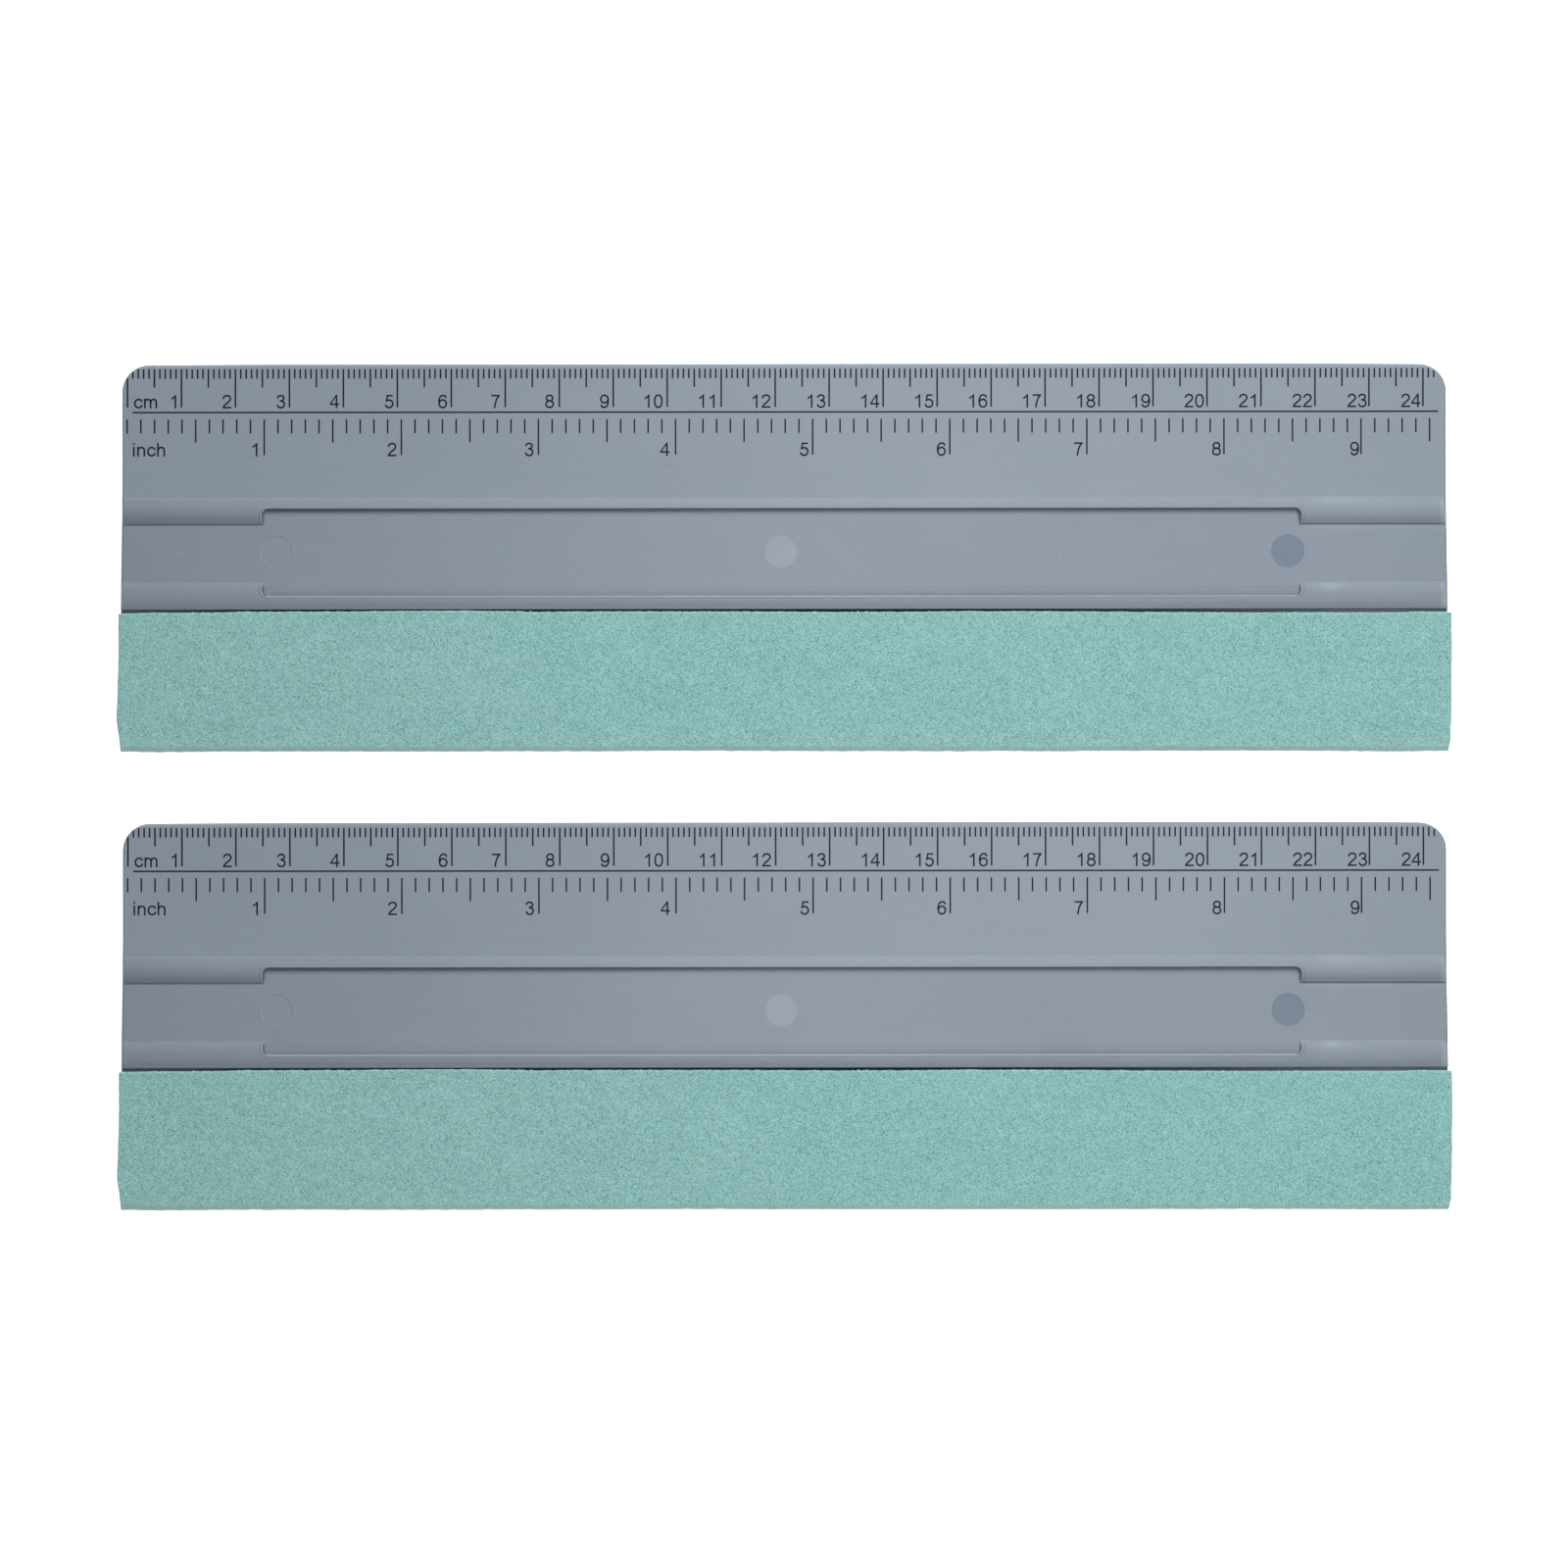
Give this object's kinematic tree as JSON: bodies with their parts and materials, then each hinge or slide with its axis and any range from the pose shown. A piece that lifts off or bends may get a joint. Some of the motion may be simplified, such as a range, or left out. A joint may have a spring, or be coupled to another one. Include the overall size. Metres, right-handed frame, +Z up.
{
  "type": "suede edged squeegee ruler pair",
  "caption": "Flat plastic squeegee rulers with a printed centimetre and inch scale, raised beads, a label pocket and a folded suede edge, lying parallel.",
  "frame": {"origin": "on the table, under the middle of the pair as it lies", "axes": "+X along the scales, the way the numbers rise; +Y across the boards towards the upper ruler's scale edge; +Z up, the way the printed faces look"},
  "size_m": [0.2472, 0.1566, 0.0031],
  "materials": {
    "moulded_plastic": "satin moulded slate-grey plastic",
    "suede": "brushed mint microfibre suede",
    "adhesive_film": "translucent double-sided film",
    "printed_ink": "dark slate screen-printed ink"
  },
  "bodies": {
    "upper_ruler": {"upper_board": "moulded_plastic", "upper_suede_edge": "suede", "upper_adhesive_tape": "adhesive_film", "upper_cm_graduations": "printed_ink", "upper_cm_numerals": "printed_ink", "upper_cm_label": "printed_ink", "upper_inch_graduations": "printed_ink", "upper_inch_numerals": "printed_ink", "upper_inch_label": "printed_ink", "upper_scale_rule": "printed_ink"},
    "lower_ruler": {"lower_board": "moulded_plastic", "lower_suede_edge": "suede", "lower_adhesive_tape": "adhesive_film", "lower_cm_graduations": "printed_ink", "lower_cm_numerals": "printed_ink", "lower_cm_label": "printed_ink", "lower_inch_graduations": "printed_ink", "lower_inch_numerals": "printed_ink", "lower_inch_label": "printed_ink", "lower_scale_rule": "printed_ink"}
  },
  "joints": [
    {"name": "lower_ruler_slide", "type": "slide", "parent": "upper_ruler", "child": "lower_ruler", "axis": [0, 1, 0], "range_m": [-0.15, 0.0129]}
  ]
}
